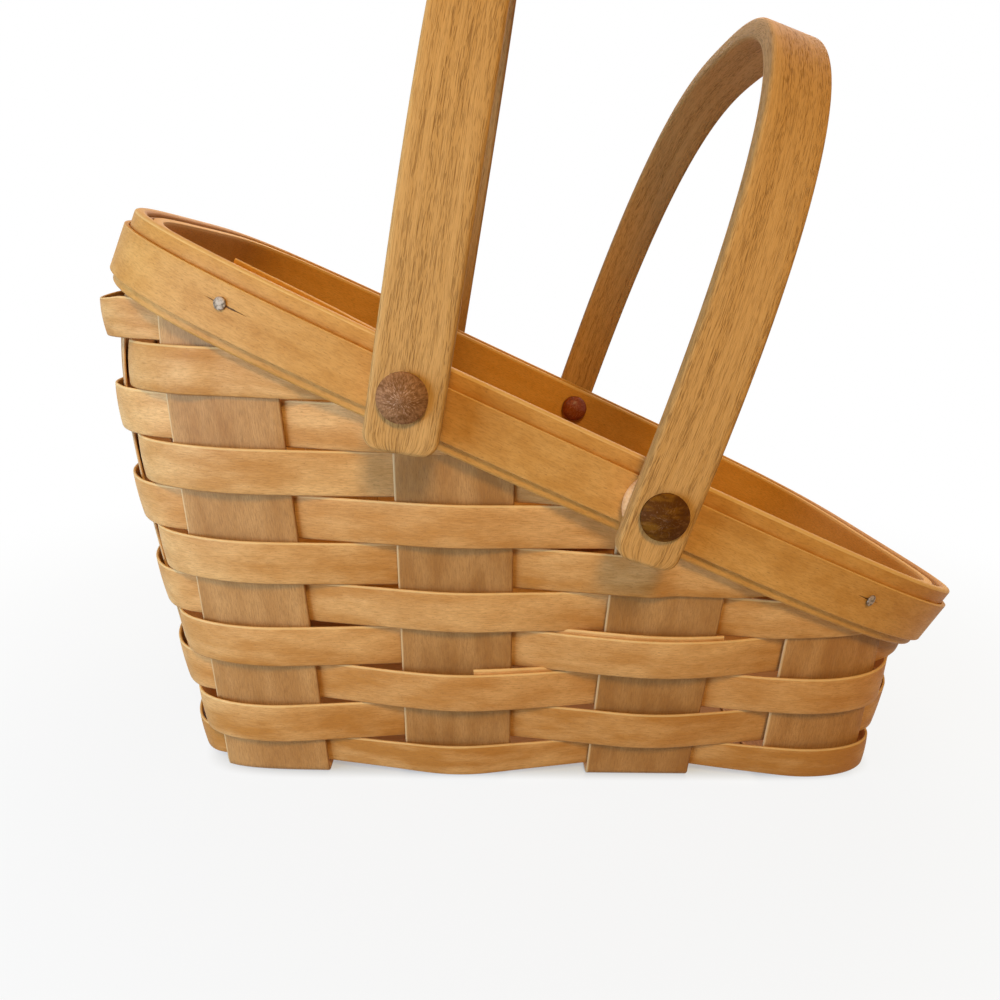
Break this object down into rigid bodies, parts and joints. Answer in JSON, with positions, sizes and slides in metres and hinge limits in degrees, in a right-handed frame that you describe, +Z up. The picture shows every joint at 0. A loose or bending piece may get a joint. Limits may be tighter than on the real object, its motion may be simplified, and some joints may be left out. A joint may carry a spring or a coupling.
{
  "type": "vegetable basket",
  "caption": "Slant-topped vegetable basket woven from wide wooden splints, with a banded rim and arched wooden handles that swing on rivets.",
  "frame": {"origin": "on the table under the middle of the basket", "axes": "+X along the basket towards its low end, +Y from front to back along the rivets, +Z up"},
  "size_m": [0.2672, 0.2168, 0.2592],
  "materials": {
    "stake_splint": "smooth split maple, stained honey",
    "weaver_splint": "smooth split maple, stained honey",
    "rim_band": "satin bent maple",
    "handle_wood": "satin open-grained oak",
    "rivet_wood": "turned dark wood, satin",
    "spacer_wood": "turned light wood, satin",
    "cap_wood": "turned dark red wood, gloss",
    "tack_steel": "dull grey tack head"
  },
  "bodies": {
    "basket": {"cross_stake_1": "stake_splint", "cross_stake_2": "stake_splint", "cross_stake_3": "stake_splint", "cross_stake_4": "stake_splint", "long_stake_front": "stake_splint", "long_stake_middle": "stake_splint", "long_stake_back": "stake_splint", "weaver_row_01": "weaver_splint", "weaver_row_02": "weaver_splint", "weaver_row_03": "weaver_splint", "weaver_row_04": "weaver_splint", "weaver_row_05": "weaver_splint", "weaver_row_06": "weaver_splint", "weaver_row_07": "weaver_splint", "weaver_row_08": "weaver_splint", "weaver_row_09": "weaver_splint", "weaver_row_10": "weaver_splint", "weaver_row_11": "weaver_splint", "outer_band": "rim_band", "trim_strip": "rim_band", "inner_band": "rim_band", "tack_tall_front": "tack_steel", "tack_low_front": "tack_steel", "tack_tall_back": "tack_steel", "tack_low_back": "tack_steel", "tall_rivet_front": "rivet_wood", "tall_rivet_back": "rivet_wood", "low_rivet_front": "rivet_wood", "low_rivet_back": "rivet_wood", "tall_spacer_front": "spacer_wood", "tall_spacer_back": "spacer_wood", "low_spacer_front": "spacer_wood", "low_spacer_back": "spacer_wood", "tall_cap_front": "cap_wood", "tall_cap_back": "cap_wood", "low_cap_front": "cap_wood", "low_cap_back": "cap_wood"},
    "tall_handle": {"tall_handle": "handle_wood"},
    "low_handle": {"low_handle": "handle_wood"}
  },
  "joints": [
    {"name": "tall_handle_swing", "type": "hinge", "parent": "basket", "child": "tall_handle", "pos_m": [-0.0409, 0, 0.12178], "axis": [0, 1, 0], "range_deg": [-140, 19]},
    {"name": "low_handle_swing", "type": "hinge", "parent": "basket", "child": "low_handle", "pos_m": [0.0231, 0, 0.09408], "axis": [0, 1, 0], "range_deg": [-19, 105]}
  ]
}
